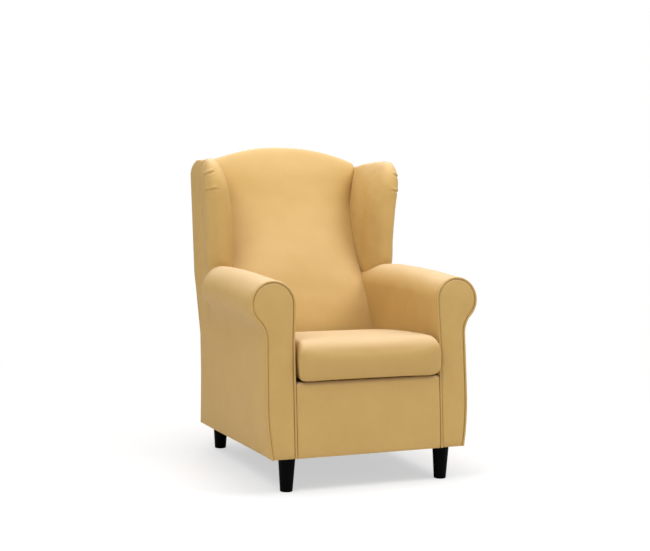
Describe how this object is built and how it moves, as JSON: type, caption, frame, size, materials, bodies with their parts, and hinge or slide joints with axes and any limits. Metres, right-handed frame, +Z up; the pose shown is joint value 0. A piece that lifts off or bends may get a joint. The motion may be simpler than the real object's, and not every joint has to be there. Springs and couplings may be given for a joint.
{
  "type": "upholstered wing-back armchair",
  "caption": "Upholstered wing-back armchair with scrolled arms, an arched back, a loose seat cushion and short black tapered legs.",
  "frame": {"origin": "on the floor, under the middle of the chair's box", "axes": "+Z up, -Y towards the front of the seat, +X to the right seen from the front"},
  "size_m": [0.746, 0.795, 1.012],
  "materials": {
    "frame_timber": "sawn beech, unfinished",
    "lining_board": "brown fibre board",
    "foam": "open-cell cushion foam",
    "camel_cloth": "brushed microfibre with a soft sheen",
    "camel_piping": "cord covered with the same cloth",
    "platform_cloth": "plain woven platform cloth",
    "dust_cloth": "black spun-bonded cloth",
    "black_lacquered_wood": "black satin lacquer",
    "spring_steel": "oiled wire and zinc plate",
    "elastic_webbing": "woven elastic",
    "zip_tape": "woven tape with moulded teeth",
    "zip_metal": "enamelled"
  },
  "bodies": {
    "chair": {"side_rail_left": "frame_timber", "side_rail_right": "frame_timber", "seat_rail_left": "frame_timber", "seat_rail_right": "frame_timber", "back_post_left": "frame_timber", "back_post_right": "frame_timber", "arm_front_board_left": "frame_timber", "arm_front_board_right": "frame_timber", "arm_top_rail_left": "frame_timber", "arm_top_rail_right": "frame_timber", "wing_panel_left": "frame_timber", "wing_panel_right": "frame_timber", "front_board": "frame_timber", "rear_rail": "frame_timber", "seat_rail_rear": "frame_timber", "back_top_rail": "frame_timber", "back_lumbar_rail": "frame_timber", "corner_blocks": "frame_timber", "arm_outer_lining_left": "lining_board", "arm_outer_lining_right": "lining_board", "back_lining": "lining_board", "arm_roll_foam_left": "foam", "arm_roll_foam_right": "foam", "arm_inner_foam_left": "foam", "arm_inner_foam_right": "foam", "wing_foam_left": "foam", "wing_foam_right": "foam", "deck_foam": "foam", "border_foam": "foam", "back_foam": "foam", "arm_cover_left": "camel_cloth", "arm_cover_right": "camel_cloth", "outside_arm_cover_left": "camel_cloth", "outside_arm_cover_right": "camel_cloth", "arm_facing_left": "camel_cloth", "arm_facing_right": "camel_cloth", "wing_cover_left": "camel_cloth", "wing_cover_right": "camel_cloth", "outside_wing_cover_left": "camel_cloth", "outside_wing_cover_right": "camel_cloth", "border_cover": "camel_cloth", "inside_back_cover": "camel_cloth", "outside_back_cover": "camel_cloth", "arm_piping_left": "camel_piping", "arm_piping_right": "camel_piping", "deck_cover": "platform_cloth", "dust_cover": "dust_cloth", "leg_front_left": "black_lacquered_wood", "leg_front_right": "black_lacquered_wood", "leg_rear_left": "black_lacquered_wood", "leg_rear_right": "black_lacquered_wood", "seat_springs": "spring_steel", "spring_clips": "spring_steel", "hanger_bolts": "spring_steel", "tee_nuts": "spring_steel", "back_webbing": "elastic_webbing"},
    "cushion": {"cushion_core": "foam", "cushion_cover": "camel_cloth", "cushion_zip": "zip_tape"},
    "zip_slider": {"zip_slider": "zip_metal"}
  },
  "joints": [
    {"name": "cushion_lift", "type": "slide", "parent": "chair", "child": "cushion", "axis": [0, 0, 1], "range_m": [0, 0.32]},
    {"name": "zip_slide", "type": "slide", "parent": "cushion", "child": "zip_slider", "axis": [1, 0, 0], "range_m": [0, 0.376]}
  ]
}
